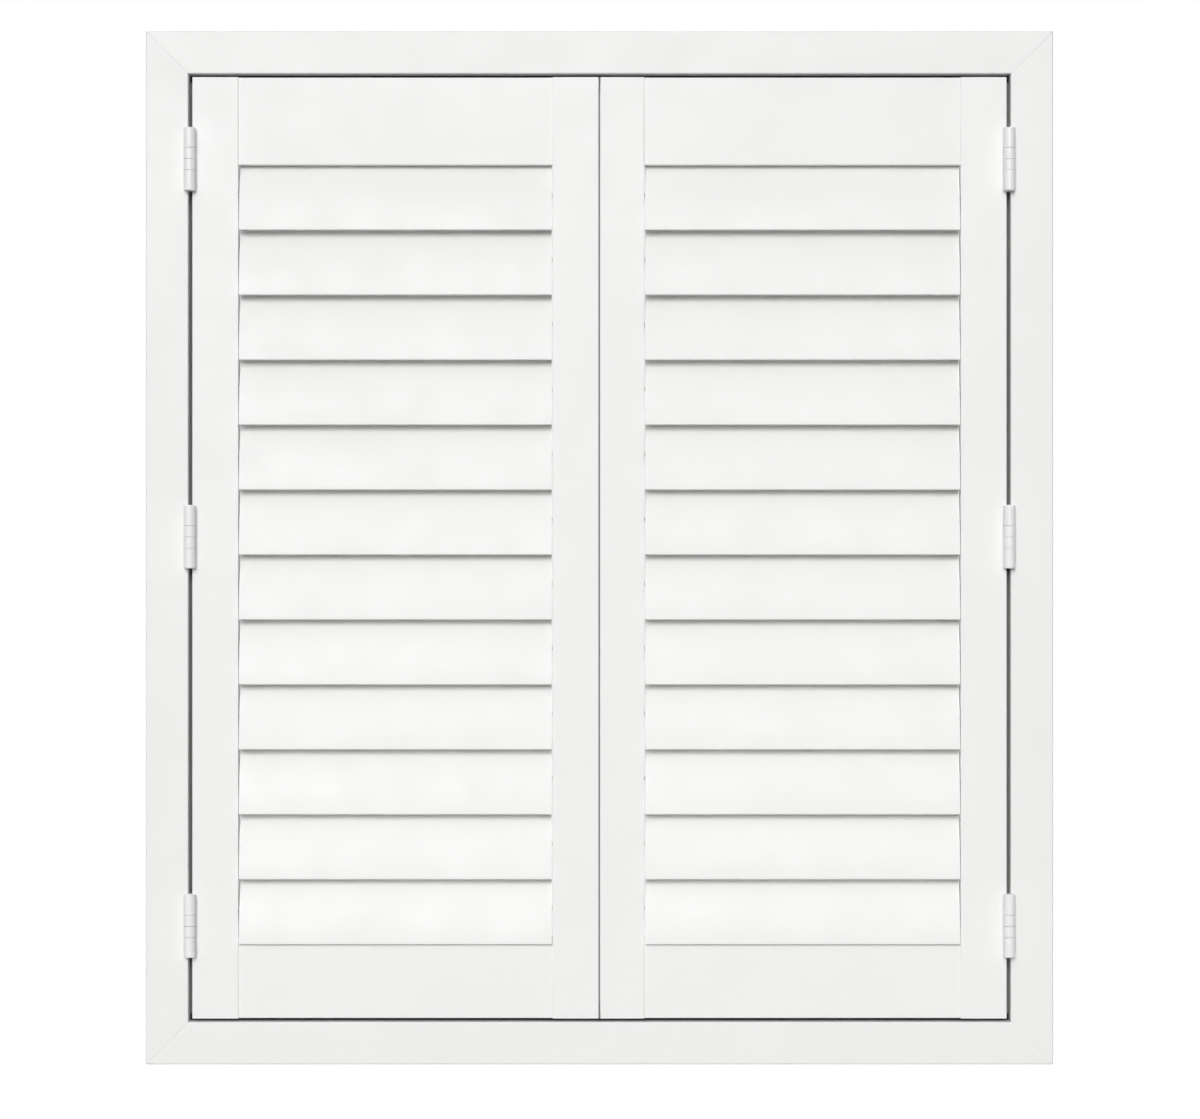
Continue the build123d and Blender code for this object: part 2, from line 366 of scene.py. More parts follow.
def rubber_dark_for_gap_shade(name, colour):
    """Extruded black rubber. It gives a matt, nearly black strip with faint drawing lines. Its near black
    is partly the rubber's own colour and partly painted shade for the deep gaps above and below the
    panels.
    """
    material, tree, place = new_material(name)
    shade = ranged(tree, noise(tree, place, 3 * MM), 0.7, 1.0)
    bloom = ranged(tree, noise(tree, place, 0.7 * MM), 0.75, 0.9)
    links = {"Base Color": tinted(tree, colour, shade), "Roughness": bloom}
    surface(tree, {"IOR": 1.52}, links)
    return material


def pile_grey_for_gap_shade(name, colour):
    """Woven pile, the brush of a draught strip. It gives a soft grey with fine tufts. Its mid grey is
    partly the pile's own colour and partly painted shade for the gaps beside the hinges and between the
    panels.
    """
    material, tree, place = new_material(name)
    tufts = noise(tree, place, 0.6 * MM, 1.0)
    shade = ranged(tree, tufts, 0.75, 1.0)
    bump = add_node(tree, "ShaderNodeBump", {"Strength": 0.8, "Distance": 0.25 * MM}, {"Height": tufts})
    links = {"Base Color": tinted(tree, colour, shade), "Normal": bump.outputs["Normal"]}
    surface(tree, {"Roughness": 0.95, "Sheen Weight": 0.3}, links)
    return material


def seen_directly(tree):
    """1 on rays from the camera, in reflections and through glass, and 0 on rays that light things."""
    path = add_node(tree, "ShaderNodeLightPath").outputs
    seen = path["Is Camera Ray"]
    for ray in ("Is Glossy Ray", "Is Transmission Ray"):
        links = {0: seen, 1: path[ray]}
        seen = add_node(tree, "ShaderNodeMath", links=links, operation="MAXIMUM").outputs[0]
    return seen


def matt_floor(name, colour, glow):
    """Matt painted board. It gives a plain pale ground that keeps the object's shadow.

    Only the camera, reflections and glass see the glow that lifts it.
    """
    material, tree, place = new_material(name)
    shade = ranged(tree, noise(tree, place, 0.4), 0.985, 1.0)
    ends = {"To Min": 0.0, "To Max": glow}
    lift = add_node(tree, "ShaderNodeMapRange", ends, {"Value": seen_directly(tree)}).outputs["Result"]
    links = {"Base Color": tinted(tree, colour, shade), "Emission Strength": lift}
    surface(tree, {"Roughness": 0.9, "Emission Color": (*colour, 1)}, links)
    return material


# Finishes made so far, by their keys
made_finishes = {}


def finish_named(key):
    """One of the object's finishes, made when first asked for."""
    colours = bpy.context.scene.shutter_colours
    makers = {
        "frame": lambda: satin_paint("Satin paint, sprayed, frame", colours.frame_paint),
        "panel": lambda: satin_paint("Satin paint, sprayed, panels", colours.panel_paint),
        "louvre": lambda: satin_paint("Satin paint, sprayed, louvres", colours.louvre_paint, 0.45),
        "hinge": lambda: powder_coat("Steel, powder coated, hinges", colours.hinge_coat),
        "rod": lambda: powder_coat("Aluminium, powder coated, tilt rod", colours.rod_coat),
        "nylon": lambda: moulded_nylon("Nylon, moulded, arms and pins", colours.nylon),
        "magnet": lambda: nickel_plate("Nickel plate, ground, magnets", colours.nickel),
        "steel": lambda: nickel_plate("Nickel plate, rolled, strikes and screws", colours.nickel),
        "rubber": lambda: rubber_dark_for_gap_shade("Rubber, extruded, head and sill seals", colours.rubber),
        "pile": lambda: pile_grey_for_gap_shade("Pile, woven, jamb and meeting seals", colours.pile),
    }
    if key not in made_finishes:
        made_finishes[key] = makers[key]()
    return made_finishes[key]


# Frame


def fixing_levels():
    """Depth and heights of the jambs' fixing holes, from the record's mount."""
    mount = next(m for m in frame["record"]["mounts"] if m["name"] == "left_jamb_fixings")
    middle = mount["pos_m"][2]
    half = mount["dims"]["spacing_y_mm"] * MM / 2
    return mount["pos_m"][1], (middle - half, middle + half)


def bore_through(bm, centre, levels, radius):
    """A round hole along Z between two flat faces of a bar that lies along X."""
    half_side = 2 * radius
    rims = []
    for level in levels:
        middle = Vector((centre[0], centre[1], level))
        flat = [f for f in bm.faces if all(abs(v.co.z - level) < NEAR for v in f.verts)]
        flat = [f for f in flat if bmesh.geometry.intersect_face_point(f, middle)]
        geom = flat + list(flat[0].edges) + list(flat[0].verts)
        for axis, sign in ((0, -1), (0, 1), (1, -1), (1, 1)):
            normal = Vector((0, 0, 0))
            normal[axis] = 1
            place = middle + normal * sign * half_side
            geom = bmesh.ops.bisect_plane(bm, geom=geom, plane_co=place, plane_no=normal)["geom"]
        faces = [g for g in geom if isinstance(g, bmesh.types.BMFace)]
        patch = min(faces, key=lambda f: (f.calc_center_median() - middle).length)
        square = list(patch.edges)
        bmesh.ops.delete(bm, geom=[patch], context="FACES_ONLY")
        circle = bmesh.ops.create_circle(
            bm, cap_ends=False, segments=24, radius=radius, matrix=Matrix.Translation(middle)
        )["verts"]
        rim = edges_of(circle)
        bmesh.ops.triangle_fill(bm, use_beauty=True, edges=square + rim)
        rims += rim
    bmesh.ops.bridge_loops(bm, edges=rims)


def frame_member(length, sizes, holes=()):
    """One length of the Z-section along X, mitred at both ends, with its outer edge on Z = 0."""
    wall_overlap = -FRAME_Z[0]
    points = [
        (FACE_Y, 0),
        (FACE_Y, FRAME_FACE),
        (STOP_FRONT_Y, FRAME_FACE),
        (STOP_FRONT_Y, STOP_REACH),
        (FRAME_BACK_Y, STOP_REACH),
        (FRAME_BACK_Y, wall_overlap),
        (0, wall_overlap),
        (0, 0),
    ]
    bm = bmesh.new()
    half = length / 2
    section = outline_face(bm, [(-half, y, z) for y, z in points])
    draw_out(bm, [section], (length, 0, 0))
    long_edges = edges_along(bm.edges, 0)
    round_edges(bm, edges_at(long_edges, 1, FACE_Y), sizes.frame_round, segments=5)
    for x, y in holes:
        bore_through(bm, (x, y), (wall_overlap, FRAME_FACE), FIXING_RADIUS)
    for sign in (-1, 1):
        geom = bm.verts[:] + bm.edges[:] + bm.faces[:]
        cut = bmesh.ops.bisect_plane(
            bm, geom=geom, plane_co=(sign * half, 0, 0), plane_no=(sign, 0, 1), clear_outer=True
        )["geom_cut"]
        rim = [g for g in cut if isinstance(g, bmesh.types.BMEdge)]
        bmesh.ops.edgenet_fill(bm, edges=rim)
        rim = [e for e in rim if e.is_valid]
        round_edges(bm, rim, sizes.mitre_bevel, segments=1)
    return bm


def place_member(bm, name, corner, turn):
    matrix = Matrix.Translation(corner) @ Matrix.Rotation(radians(turn), 4, "Y")
    bmesh.ops.transform(bm, matrix=matrix, verts=bm.verts)
    finish_piece(bm, name + "_finished", finish_named("frame"), "frame", [name])


class SHUTTER_OT_frame(bpy.types.Operator):
    """Head, sill and jambs of the mitred frame"""

    bl_idname = "shutter.frame"
    bl_label = "Frame"

    def execute(self, context):
        sizes = context.scene.shutter_sizes
        width = FRAME_X[1] - FRAME_X[0]
        height = FRAME_Z[1] - FRAME_Z[0]
        depth, levels = fixing_levels()
        holes = [(level - FRAME_MIDDLE_Z, depth) for level in levels]
        place_member(frame_member(width, sizes), "frame_sill", (0, 0, FRAME_Z[0]), 0)
        place_member(frame_member(width, sizes), "frame_head", (0, 0, FRAME_Z[1]), 180)
        # A jamb's own X runs down on the left and up on the right.
        left_holes = [(-x, y) for x, y in holes]
        left = frame_member(height, sizes, left_holes)
        place_member(left, "frame_left_jamb", (FRAME_X[0], 0, FRAME_MIDDLE_Z), 90)
        right = frame_member(height, sizes, holes)
        place_member(right, "frame_right_jamb", (FRAME_X[1], 0, FRAME_MIDDLE_Z), -90)
        return {"FINISHED"}


# Panels


def stile(name, body, sizes):
    """An upright with rounded long edges and eased ends."""
    low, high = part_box(name)
    bm = bmesh.new()
    box_mesh(bm, low, high)
    round_edges(bm, edges_along(bm.edges, 2), sizes.member_round, segments=4)
    ends = edges_at(bm.edges, 2, low.z) + edges_at(bm.edges, 2, high.z)
    round_edges(bm, ends, sizes.end_ease, segments=2)
    finish_piece(bm, name + "_finished", finish_named("panel"), body, [name])


def rail(name, side, inward, sizes):
    """A rail with its rebate, a notch for the tilt arm and rod, and eased front edges and ends."""
    low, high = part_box(name)
    edge_z, far_z = (low.z, high.z) if inward > 0 else (high.z, low.z)
    lip_back = PIVOT_Y + RAIL_LIP_BEHIND_PIVOT
    rod_low, rod_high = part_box(f"{side}_tilt_rod")
    pivots = [joint_place(f"{side}_louvre_{n:02d}_tilt").z for n in (1, LOUVRE_COUNT)]
    to_pivot = min(abs(edge_z - z) for z in pivots)
    rod_beyond = rod_high.z - max(pivots)
    notch = rod_beyond + NOTCH_CLEARANCE - to_pivot
    arm_side = ARM_WIDTH + LINK_SIDE_GAP + NOTCH_CLEARANCE
    before, after = (arm_side, NOTCH_CLEARANCE) if side == "left" else (NOTCH_CLEARANCE, arm_side)
    start, end = rod_low.x - before, rod_high.x + after
    stations = [
        (low.x, RAIL_REBATE),
        (start, RAIL_REBATE),
        (start + NOTCH_DRAFT, notch),
        (end - NOTCH_DRAFT, notch),
        (end, RAIL_REBATE),
        (high.x, RAIL_REBATE),
    ]
    bm = bmesh.new()
    rebate_z = edge_z + inward * RAIL_REBATE
    outline = [
        (low.y, edge_z), (low.y, far_z), (high.y, far_z),
        (high.y, rebate_z), (lip_back, rebate_z), (lip_back, edge_z),
    ]
    face = outline_face(bm, [(low.x, y, z) for y, z in outline])
    for (x0, depth0), (x1, depth1) in zip(stations, stations[1:]):
        verts = draw_out(bm, [face], (x1 - x0, 0, 0))
        face = next(f for f in bm.faces if set(f.verts) == set(verts))
        step = edge_z + inward * depth0
        moving = [v for v in verts if abs(v.co.z - step) < NEAR]
        bmesh.ops.translate(bm, vec=(0, 0, inward * (depth1 - depth0)), verts=moving)
    inner = [f for f in bm.faces if all(f in e.link_faces and len(e.link_faces) > 2 for e in f.edges)]
    bmesh.ops.delete(bm, geom=inner, context="FACES_ONLY")
    front = edges_at(edges_along(bm.edges, 0), 1, low.y)
    round_edges(bm, front, sizes.member_round, segments=4)
    ends = edges_at(bm.edges, 0, low.x) + edges_at(bm.edges, 0, high.x)
    round_edges(bm, edges_at(edges_along(ends, 2), 1, low.y), sizes.joint_groove, segments=1)
    finish_piece(bm, name + "_finished", finish_named("panel"), f"{side}_panel", [name])


class SHUTTER_OT_panels(bpy.types.Operator):
    """Stiles and rails of both panels"""

    bl_idname = "shutter.panels"
    bl_label = "Panels"

    def execute(self, context):
        sizes = context.scene.shutter_sizes
        for side in SIDES:
            body = f"{side}_panel"
            stile(f"{side}_hinge_stile", body, sizes)
            stile(f"{side}_meeting_stile", body, sizes)
            rail(f"{side}_top_rail", side, 1, sizes)
            rail(f"{side}_bottom_rail", side, -1, sizes)
            paint_node(f"{side}_louvre_pins", finish_named("nylon"))
        return {"FINISHED"}


# Louvres


def rest_tilt():
    """The louvres' lean from upright at rest, and the distance from their pivots to the rod's."""
    swing = JOINTS["left_tilt_rod_swing"]
    master = next(j for j in frame["joints"] if j["child"] == swing["parent"])
    reach = Vector(swing["pos_m"]) - Vector(master["pos_m"])
    return atan2(reach.y, reach.z), hypot(reach.y, reach.z)


def at_pivot(x, pivot, tilt):
    """From a blade's own frame, with its chord along Z, to its place in the panel."""
    return Matrix.Translation((x, pivot.y, pivot.z)) @ Matrix.Rotation(-tilt, 4, "X")


def blade(name, sizes):
    """Two shallow arcs with rounded edges, and a round channel for the pins."""
    half_chord = BLADE_CHORD / 2
    half_edge = BLADE_EDGE / 2
    crown = BLADE_THICKNESS / 2
    rise = crown - half_edge
    radius = (half_chord ** 2 + rise ** 2) / (2 * rise)
    sweep = 2 * asin(half_chord / radius)
    bm = bmesh.new()
    for sign in (-1, 1):
        start = bm.verts.new((0, sign * half_edge, sign * half_chord))
        bmesh.ops.spin(
            bm, geom=[start], cent=(0, sign * (crown - radius), 0), axis=(1, 0, 0),
            angle=-sweep, steps=sizes.blade_steps, dvec=(0, 0, 0),
        )
    for sign in (-1, 1):
        corners = [v for v in bm.verts if abs(v.co.z - sign * half_chord) < NEAR]
        bm.edges.new(corners)
    bmesh.ops.contextual_create(bm, geom=bm.edges[:])
    corners = [v for v in bm.verts if abs(abs(v.co.z) - half_chord) < NEAR]
    bmesh.ops.bevel(
        bm, geom=corners, offset=sizes.blade_edge_round, affect="VERTICES", segments=4, profile=0.5,
        material=-1,
    )
    bmesh.ops.delete(bm, geom=bm.faces[:], context="FACES_ONLY")
    bmesh.ops.create_circle(
        bm, cap_ends=False, segments=20, radius=CHANNEL_RADIUS, matrix=Matrix.Rotation(pi / 2, 4, "Y")
    )
    bmesh.ops.triangle_fill(bm, use_beauty=True, edges=bm.edges[:])
    low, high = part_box(name)
    draw_out(bm, bm.faces[:], (high.x - low.x, 0, 0))
    tilt, _ = rest_tilt()
    matrix = at_pivot(low.x, joint_place(name + "_tilt"), tilt)
    bmesh.ops.transform(bm, matrix=matrix, verts=bm.verts)
    finish_piece(bm, name + "_blade", finish_named("louvre"), name, [name])


class SHUTTER_OT_louvres(bpy.types.Operator):
    """The blades of both panels"""

    bl_idname = "shutter.louvres"
    bl_label = "Louvres"

    def execute(self, context):
        sizes = context.scene.shutter_sizes
        for side in SIDES:
            for number in range(1, LOUVRE_COUNT + 1):
                blade(f"{side}_louvre_{number:02d}", sizes)
        return {"FINISHED"}


# Tilt linkage


def arm_x(side):
    """Low X of the tilt arms, which stand beside the rod on its hinge side."""
    rod = span(f"{side}_tilt_rod", 0)
    return rod[0] - LINK_SIDE_GAP - ARM_WIDTH if side == "left" else rod[1] + LINK_SIDE_GAP


def tilt_arm(name, side, sizes):
    """A moulded arm from the blade's rear edge to a round eye."""
    tilt, reach = rest_tilt()
    root = BLADE_CHORD / 2 - ARM_ROOT_IN_BLADE
    half_root = BLADE_EDGE / 2
    bm = bmesh.new()
    first = bm.verts.new((0, ARM_HALF_DEPTH, reach))
    spun = bmesh.ops.spin(
        bm, geom=[first], cent=(0, 0, reach), axis=(1, 0, 0), angle=pi, steps=14, dvec=(0, 0, 0)
    )
    last = next(g for g in spun["geom_last"] if isinstance(g, bmesh.types.BMVert))
    sign = 1 if last.co.y > 0 else -1
    flare = root + ARM_FLARE
    rest = [(sign * ARM_HALF_DEPTH, flare), (sign * half_root, root)]
    rest += [(-sign * half_root, root), (-sign * ARM_HALF_DEPTH, flare)]
    chain = [last] + [bm.verts.new((0, y, z)) for y, z in rest] + [first]
    for start, end in zip(chain, chain[1:]):
        bm.edges.new((start, end))
    eye = Matrix.Translation((0, 0, reach)) @ Matrix.Rotation(pi / 2, 4, "Y")
    bmesh.ops.create_circle(bm, cap_ends=False, segments=16, radius=sizes.rivet_radius, matrix=eye)
    bmesh.ops.triangle_fill(bm, use_beauty=True, edges=bm.edges[:])
    draw_out(bm, bm.faces[:], (ARM_WIDTH, 0, 0))
    matrix = at_pivot(arm_x(side), joint_place(name + "_tilt"), tilt)
    bmesh.ops.transform(bm, matrix=matrix, verts=bm.verts)
    finish_piece(bm, name + "_arm", finish_named("nylon"), name, [name])


def rivets(side, sizes):
    """Domed rivets through every arm's eye and the rod, as one piece on the rod."""
    tilt, reach = rest_tilt()
    rod = span(f"{side}_tilt_rod", 0)
    arm = arm_x(side)
    thick = sizes.rivet_head
    low = min(rod[0], arm) - RIVET_PLAY - thick
    high = max(rod[1], arm + ARM_WIDTH) + RIVET_PLAY + thick
    dome = thick * RIVET_DOME
    across = Matrix.Rotation(pi / 2, 4, "Y")
    bm = bmesh.new()
    for number in range(1, LOUVRE_COUNT + 1):
        pivot = joint_place(f"{side}_louvre_{number:02d}_tilt")
        eye = at_pivot(0, pivot, tilt) @ Vector((0, 0, reach))
        shank = Matrix.Translation(((low + high) / 2, eye.y, eye.z)) @ across
        turned(bm, sizes.rivet_radius - RIVET_PLAY, high - low - thick, shank, segments=16)
        for x, rounds in ((low + thick / 2, (dome, 0.0)), (high - thick / 2, (0.0, dome))):
            head = Matrix.Translation((x, eye.y, eye.z)) @ across
            turned(bm, sizes.rivet_head_radius, thick, head, *rounds, segments=20)
    finish_piece(bm, f"{side}_tilt_rod_rivets", finish_named("steel"), f"{side}_tilt_rod")


class SHUTTER_OT_tilt_linkage(bpy.types.Operator):
    """Arms, rods and rivets behind the louvres"""

    bl_idname = "shutter.tilt_linkage"
    bl_label = "Tilt linkage"

    def execute(self, context):
        sizes = context.scene.shutter_sizes
        for side in SIDES:
            for number in range(1, LOUVRE_COUNT + 1):
                tilt_arm(f"{side}_louvre_{number:02d}", side, sizes)
            name = f"{side}_tilt_rod"
            bm = bmesh.new()
            box_mesh(bm, *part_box(name))
            round_edges(bm, bm.edges[:], sizes.rod_round)
            finish_piece(bm, name + "_finished", finish_named("rod"), name, [name])
            rivets(side, sizes)
        return {"FINISHED"}


# Hinges


def hinge_levels(side):
    """Heights of a panel's hinges, from their boxes and the joint at the middle one."""
    low, high = span(f"{side}_hinge_panel_leaves", 2)
    middle = joint_place(f"{side}_panel_swing").z
    return {"lower": low + HINGE_HEIGHT / 2, "middle": middle, "upper": high - HINGE_HEIGHT / 2}


def knuckle_spans():
    """Low and high Z of the four knuckles from the hinge's middle, the top one first."""
    inner = (HINGE_HEIGHT - 2 * END_KNUCKLE - 3 * KNUCKLE_GAP) / 2
    spans = []
    top = HINGE_HEIGHT / 2
    for length in (END_KNUCKLE, inner, inner, END_KNUCKLE):
        spans.append((top - length, top))
        top -= length + KNUCKLE_GAP
    return spans


def screw_head(bm, matrix, radius, rise):
    """A flat head with a cross recess; its own Z points out of the plate."""
    start = set(bm.verts)
    width, arm, depth = (radius * share for share in RECESS_SHARES)
    circle = bmesh.ops.create_circle(bm, cap_ends=False, segments=20, radius=radius)["verts"]
    rim = edges_of(circle)
    cross = []
    for turn in range(4):
        quarter = Matrix.Rotation(turn * pi / 2, 4, "Z")
        for point in ((arm, -width), (arm, width), (width, width)):
            cross.append(bm.verts.new(quarter @ Vector((*point, 0))))
    inner = [bm.edges.new((a, b)) for a, b in zip(cross, cross[1:] + cross[:1])]
    bmesh.ops.triangle_fill(bm, use_beauty=True, edges=rim + inner)
    walls = bmesh.ops.extrude_edge_only(bm, edges=inner)["geom"]
    floor = [g for g in walls if isinstance(g, bmesh.types.BMVert)]
    bmesh.ops.translate(bm, vec=(0, 0, -depth), verts=floor)
    bottom = [g for g in walls if isinstance(g, bmesh.types.BMEdge) and all(v in floor for v in g.verts)]
    bmesh.ops.contextual_create(bm, geom=bottom)
    skirt = bmesh.ops.extrude_edge_only(bm, edges=rim)["geom"]
    low = [g for g in skirt if isinstance(g, bmesh.types.BMVert)]
    bmesh.ops.translate(bm, vec=(0, 0, -depth - rise), verts=low)
    base = [g for g in skirt if isinstance(g, bmesh.types.BMEdge) and all(v in low for v in g.verts)]
    bmesh.ops.contextual_create(bm, geom=base)
    made = [v for v in bm.verts if v not in start]
    bmesh.ops.transform(bm, matrix=matrix @ Matrix.Translation((0, 0, rise)), verts=made)


def hinge_leaf(side, kind, place, level, sizes):
    """A leaf plate with its own two knuckles; kind is frame or panel."""
    sign = side_sign(side)
    axis = joint_place(f"{side}_panel_swing")
    spans = knuckle_spans()
    own = (spans[0], spans[2]) if kind == "frame" else (spans[1], spans[3])
    if kind == "frame":
        outer = OPENING_X[0] if side == "left" else OPENING_X[1]
        inner = outer - sign * LEAF_THICKNESS
    else:
        stile_x = span(f"{side}_hinge_stile", 0)
        inner = stile_x[0] if side == "left" else stile_x[1]
        outer = inner + sign * LEAF_THICKNESS
    x = sorted((outer, inner))
    half = HINGE_HEIGHT / 2
    bm = bmesh.new()
    box_mesh(bm, (x[0], FACE_Y, level - half), (x[1], FACE_Y + LEAF_DEPTH, level + half))
    round_edges(bm, edges_along(bm.edges, 0), sizes.leaf_corner)
    inset = Vector((TONGUE_INSET, 0, TONGUE_INSET))
    for low, high in own:
        foot = Vector((x[0], axis.y, level + low)) + inset
        top = Vector((x[1], FACE_Y + 2 * sizes.leaf_corner, level + high)) - inset
        box_mesh(bm, foot, top)
        low_round = sizes.knuckle_foot if (low, high) == spans[3] else sizes.knuckle_ease
        high_round = sizes.knuckle_top if (low, high) == spans[0] else sizes.knuckle_ease
        middle = Matrix.Translation((axis.x, axis.y, level + (low + high) / 2))
        turned(bm, KNUCKLE_RADIUS, high - low, middle, low_round, high_round, segments=56)
    node = f"{side}_hinge_{kind}_leaves"
    body = "frame" if kind == "frame" else f"{side}_panel"
    name = f"{side}_{place}_hinge_{kind}"
    finish_piece(bm, name + "_leaf", finish_named("hinge"), body, [node])
    bm = bmesh.new()
    out = -sign if kind == "frame" else sign
    face_x = inner if kind == "frame" else outer
    turn = Matrix.Rotation(out * pi / 2, 4, "Y")
    for offset in (-HINGE_HEIGHT / 3, 0, HINGE_HEIGHT / 3):
        spot = Matrix.Translation((face_x, FACE_Y + LEAF_DEPTH * SCREW_IN_LEAF, level + offset))
        screw_head(bm, spot @ turn, sizes.screw_radius, sizes.screw_rise)
    finish_piece(bm, name + "_screws", finish_named("hinge"), body)


def hinge_pin(side, place, level, sizes):
    """A pin with a low domed head over the top knuckle."""
    axis = joint_place(f"{side}_panel_swing")
    low, high = span(f"{side}_hinge_pins", 2)
    pin_length = high - low - (hinge_levels(side)["upper"] - hinge_levels(side)["lower"])
    top = level + HINGE_HEIGHT / 2 + sizes.pin_head
    middle = Matrix.Translation((axis.x, axis.y, top - pin_length / 2))
    bm = bmesh.new()
    dome = sizes.pin_head * HINGE_PIN_DOME
    turned(bm, HINGE_PIN_RADIUS, pin_length, middle, HINGE_PIN_FOOT_EASE, dome)
    name = f"{side}_{place}_hinge_pin"
    finish_piece(bm, name, finish_named("hinge"), "frame", [f"{side}_hinge_pins"])


class SHUTTER_OT_hinges(bpy.types.Operator):
    """Leaves, pins and screws of the six butt hinges"""

    bl_idname = "shutter.hinges"
    bl_label = "Hinges"

    def execute(self, context):
        sizes = context.scene.shutter_sizes
        for side in SIDES:
            for place, level in hinge_levels(side).items():
                hinge_leaf(side, "frame", place, level, sizes)
                hinge_leaf(side, "panel", place, level, sizes)
                hinge_pin(side, place, level, sizes)
        return {"FINISHED"}


# Catches and seals


def seal_strip(name, low, high, along, key, sizes):
    """A flat strip on the light stop, with its two front edges rounded."""
    bm = bmesh.new()
    box_mesh(bm, low, high)
    front = edges_at(edges_along(bm.edges, along), 1, low[1])
    round_edges(bm, front, sizes.seal_round)
    finish_piece(bm, name, finish_named(key), "frame", ["stop_seals"])


def catch_plate(bm, x, y, z, sizes):
    """A flat plate with rounded corners, for a magnet or its strike."""
    verts = box_mesh(bm, (x[0], y[0], z[0]), (x[1], y[1], z[1]))
    round_edges(bm, edges_along(edges_of(verts), 1), sizes.catch_corner, segments=4)


def catches(sizes):
    """Magnets in the head and the sill, and the strike plates with two screws each on the panels."""
    magnets = bmesh.new()
    magnet_y = span("catch_magnets", 1)
    magnet_y = (magnet_y[0] - MAGNET_PROUD, magnet_y[1])
    towards_stop = Matrix.Rotation(-pi / 2, 4, "X")
    for side in SIDES:
        node = f"{side}_strike_plates"
        x, y, z = (span(node, axis) for axis in range(3))
        plates = bmesh.new()
        screws = bmesh.new()
        for levels in ((z[0], z[0] + CATCH_HEIGHT), (z[1] - CATCH_HEIGHT, z[1])):
            catch_plate(magnets, x, magnet_y, levels, sizes)
            catch_plate(plates, x, y, levels, sizes)
            for screw_x in (x[0] + CATCH_HEIGHT / 2, x[1] - CATCH_HEIGHT / 2):
                spot = Matrix.Translation((screw_x, y[1], sum(levels) / 2))
                screw_head(screws, spot @ towards_stop, sizes.small_screw_radius, sizes.screw_rise)
        body = f"{side}_panel"
        finish_piece(plates, node + "_finished", finish_named("steel"), body, [node])
        finish_piece(screws, node[:-1] + "_screws", finish_named("steel"), body)
    node = "catch_magnets"
    finish_piece(magnets, node + "_finished", finish_named("magnet"), "frame", [node])


class SHUTTER_OT_catches_and_seals(bpy.types.Operator):
    """Magnets, strike plates and seals"""

    bl_idname = "shutter.catches_and_seals"
    bl_label = "Catches and seals"

    def execute(self, context):
        sizes = context.scene.shutter_sizes
        y = span("stop_seals", 1)
        x, z = OPENING_X, OPENING_Z
        # The jamb seals are a mid grey, partly as painted shade for the gaps beside the hinges.
        uprights = {"left": (x[0], x[0] + SEAL_WIDTH), "right": (x[1] - SEAL_WIDTH, x[1])}
        for side, (x0, x1) in uprights.items():
            low, high = Vector((x0, y[0], z[0] + SEAL_WIDTH)), Vector((x1, y[1], z[1] - SEAL_WIDTH))
            seal_strip(f"{side}_jamb_seal", low, high, 2, "pile", sizes)
        # The head and sill seals are nearly black, partly as painted shade for the gaps in front of them.
        across = {"sill": (z[0], z[0] + SEAL_WIDTH), "head": (z[1] - SEAL_WIDTH, z[1])}
        for place, (z0, z1) in across.items():
            low, high = Vector((x[0], y[0], z0)), Vector((x[1], y[1], z1))
            seal_strip(f"{place}_seal", low, high, 0, "rubber", sizes)
        # The meeting seal's grey is partly painted shade for the gap between the panels.
        paint_node("meeting_seal", finish_named("pile"))
        catches(sizes)
        return {"FINISHED"}


# Stage

# Angles of the distant lights in degrees: height above the horizon, turn from the front towards
# low X, and spread
FRONT_LIGHT = (18, 5, 28)
HIGH_LIGHT = (45, 25, 60)
# The camera's film in millimetres, and how far it sees in metres
FILM_WIDTH_MM = 36
FARTHEST_VIEW = 50


def soft_light(name, angles, level):
    """A broad, distant light. At level 1, a white that faces it renders as about plain white."""
    height, turn, spread = (radians(angle) for angle in angles)
    data = bpy.data.lights.new(name, "SUN")
    data.energy = pi * level
    data.angle = spread
    lamp = bpy.data.objects.new(name, data)
    bpy.context.scene.collection.objects.link(lamp)
    towards = Vector((-sin(turn) * cos(height), -cos(turn) * cos(height), sin(height)))
    lamp.rotation_euler = (-towards).to_track_quat("-Z", "Y").to_euler()


def low_back_light(sizes):
    """A light that lies just over the floor behind the shutters, for their backs.

    It faces straight up, so none of it falls straight on the floor.
    """
    data = bpy.data.lights.new("Low back light", "AREA")
    data.shape = "RECTANGLE"
    data.size = sizes.back_width
    data.size_y = sizes.back_depth
    data.energy = sizes.back_power
    lamp = bpy.data.objects.new("Low back light", data)
    bpy.context.scene.collection.objects.link(lamp)
    lamp.location = (0, sizes.back_distance, sizes.back_above_floor - sizes.floor_below)
    lamp.rotation_euler = (pi, 0, 0)
    lamp.visible_camera = False


def pale_world(strength):
    """An even pale sky; the camera, reflections and glass see it as plain white."""
    world = bpy.data.worlds.new("Pale sky")
    bpy.context.scene.world = world
    world.use_nodes = True
    tree = world.node_tree
    tree.nodes.clear()
    ends = {"To Min": strength, "To Max": 1.0}
    level = add_node(tree, "ShaderNodeMapRange", ends, {"Value": seen_directly(tree)}).outputs["Result"]
    sky = add_node(tree, "ShaderNodeBackground", {"Color": (1, 1, 1, 1)}, {"Strength": level})
    add_node(tree, "ShaderNodeOutputWorld", links={"Surface": sky.outputs["Background"]})


def photo_camera(sizes):
    """Square on, a little below the middle of the frame, with a long lens."""
    data = bpy.data.cameras.new("Camera")
    camera = bpy.data.objects.new("Camera", data)
    bpy.context.scene.collection.objects.link(camera)
    level = FRAME_MIDDLE_Z - sizes.camera_below
    camera.location = (sizes.camera_right, FACE_Y - sizes.camera_distance, level)
    camera.rotation_euler = (pi / 2, 0, 0)
    data.sensor_width = FILM_WIDTH_MM
    data.lens = data.sensor_width * sizes.camera_distance / sizes.view_width
    data.clip_end = FARTHEST_VIEW
    bpy.context.scene.camera = camera


